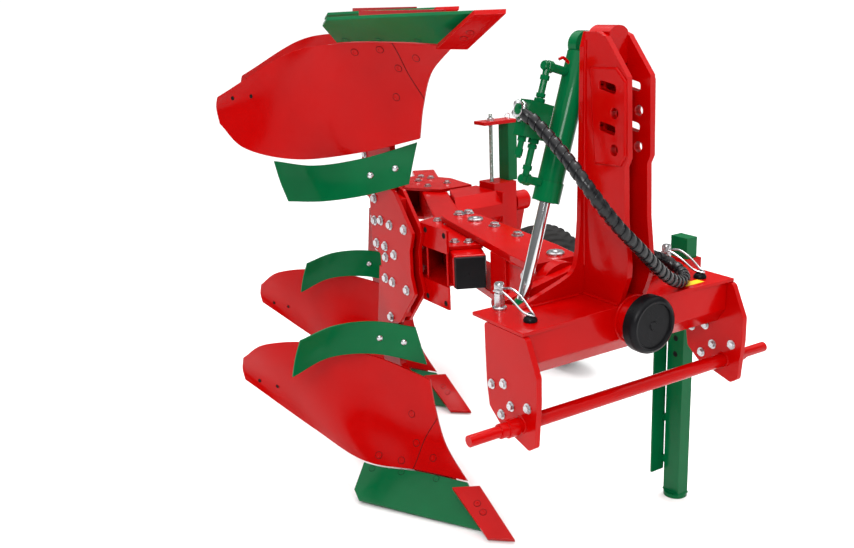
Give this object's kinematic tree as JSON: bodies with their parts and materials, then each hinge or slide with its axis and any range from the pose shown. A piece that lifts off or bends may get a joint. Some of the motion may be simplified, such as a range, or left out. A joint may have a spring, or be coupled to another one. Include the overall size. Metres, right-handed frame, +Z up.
{
  "type": "reversible plough",
  "caption": "Mounted reversible moldboard plough with mirrored upper and lower bodies, mast, turnover cylinder, depth wheel and parking stand.",
  "frame": {"origin": "middle of the footprint on the ground, without the hose", "axes": "+Z up, +Y to the plough's rear along its length, +X to the depth wheel's side"},
  "size_m": [1.46, 2.2988, 1.488],
  "materials": {
    "red_paint": "glossy saturated red enamel",
    "green_paint": "glossy deep green enamel",
    "chrome": "polished hard chrome",
    "zinc_steel": "zinc-plated steel",
    "black_plastic": "moulded black plastic",
    "hose_black": "black spiral hose guard",
    "tyre": "black rubber"
  },
  "bodies": {
    "headstock": {"crossbeam": "red_paint", "left_end_plate": "red_paint", "right_end_plate": "red_paint", "cross_shaft": "red_paint", "mast_back_plate": "red_paint", "mast_left_plate": "red_paint", "mast_right_plate": "red_paint", "mast_pin": "red_paint", "shaft_cap": "black_plastic", "shaft_housing": "red_paint", "left_locking_pin": "zinc_steel", "right_locking_pin": "zinc_steel", "stand_bracket": "red_paint", "hose": "hose_black"},
    "cylinder_barrel": {"cylinder_barrel": "green_paint", "valve_block": "green_paint"},
    "cylinder_rod": {"cylinder_rod": "chrome"},
    "frame": {"beam_cap": "black_plastic", "crank_arm": "red_paint", "front_leg_bracket": "red_paint", "front_leg_left_plate": "red_paint", "front_leg_right_plate": "red_paint", "front_lower_landside": "red_paint", "front_lower_leg": "red_paint", "front_lower_moldboard": "red_paint", "front_lower_point": "red_paint", "front_lower_share": "green_paint", "front_lower_trashboard": "green_paint", "front_upper_landside": "red_paint", "front_upper_leg": "red_paint", "front_upper_moldboard": "red_paint", "front_upper_point": "red_paint", "front_upper_share": "green_paint", "front_upper_trashboard": "green_paint", "main_beam": "red_paint", "rear_leg_bracket": "red_paint", "rear_leg_left_plate": "red_paint", "rear_leg_right_plate": "red_paint", "rear_lower_landside": "red_paint", "rear_lower_leg": "red_paint", "rear_lower_moldboard": "red_paint", "rear_lower_point": "red_paint", "rear_lower_share": "green_paint", "rear_lower_trashboard": "green_paint", "rear_upper_landside": "red_paint", "rear_upper_leg": "red_paint", "rear_upper_moldboard": "red_paint", "rear_upper_point": "red_paint", "rear_upper_share": "green_paint", "rear_upper_trashboard": "green_paint", "swing_arm": "red_paint", "turnover_shaft": "zinc_steel", "wheel_bracket": "red_paint", "wheel_stop_post": "green_paint"},
    "wheel_arm": {"wheel_arm": "red_paint"},
    "wheel": {"wheel_tyre": "tyre", "wheel_rim": "zinc_steel"},
    "stand": {"stand_leg": "green_paint"}
  },
  "joints": [
    {"name": "turnover", "type": "hinge", "parent": "headstock", "child": "frame", "pos_m": [-0.215, -0.82922, 0.745], "axis": [0, 1, 0], "range_deg": [0, 180]},
    {"name": "cylinder_swing", "type": "hinge", "parent": "headstock", "child": "cylinder_barrel", "pos_m": [-0.215, -0.87122, 1.396], "axis": [0, 1, 0], "range_deg": [-35, 0]},
    {"name": "rod_slide", "type": "slide", "parent": "cylinder_barrel", "child": "cylinder_rod", "axis": [0.299, 0, 0.9542], "range_m": [0, 0.231]},
    {"name": "stand_slide", "type": "slide", "parent": "headstock", "child": "stand", "axis": [0, 0, 1], "range_m": [0, 0.35]},
    {"name": "wheel_arm_swing", "type": "hinge", "parent": "frame", "child": "wheel_arm", "pos_m": [0.383, 0.23878, 0.745], "axis": [1, 0, 0], "range_deg": [0, 148]},
    {"name": "wheel_spin", "type": "hinge", "parent": "wheel_arm", "child": "wheel", "pos_m": [0.655, 0.36878, 0.291], "axis": [1, 0, 0], "continuous": true}
  ],
  "couplings": [
    {"joint": "cylinder_swing", "follows": "turnover", "ratio": -0.1935},
    {"joint": "rod_slide", "follows": "turnover", "m_per_rad": 0.0732}
  ]
}
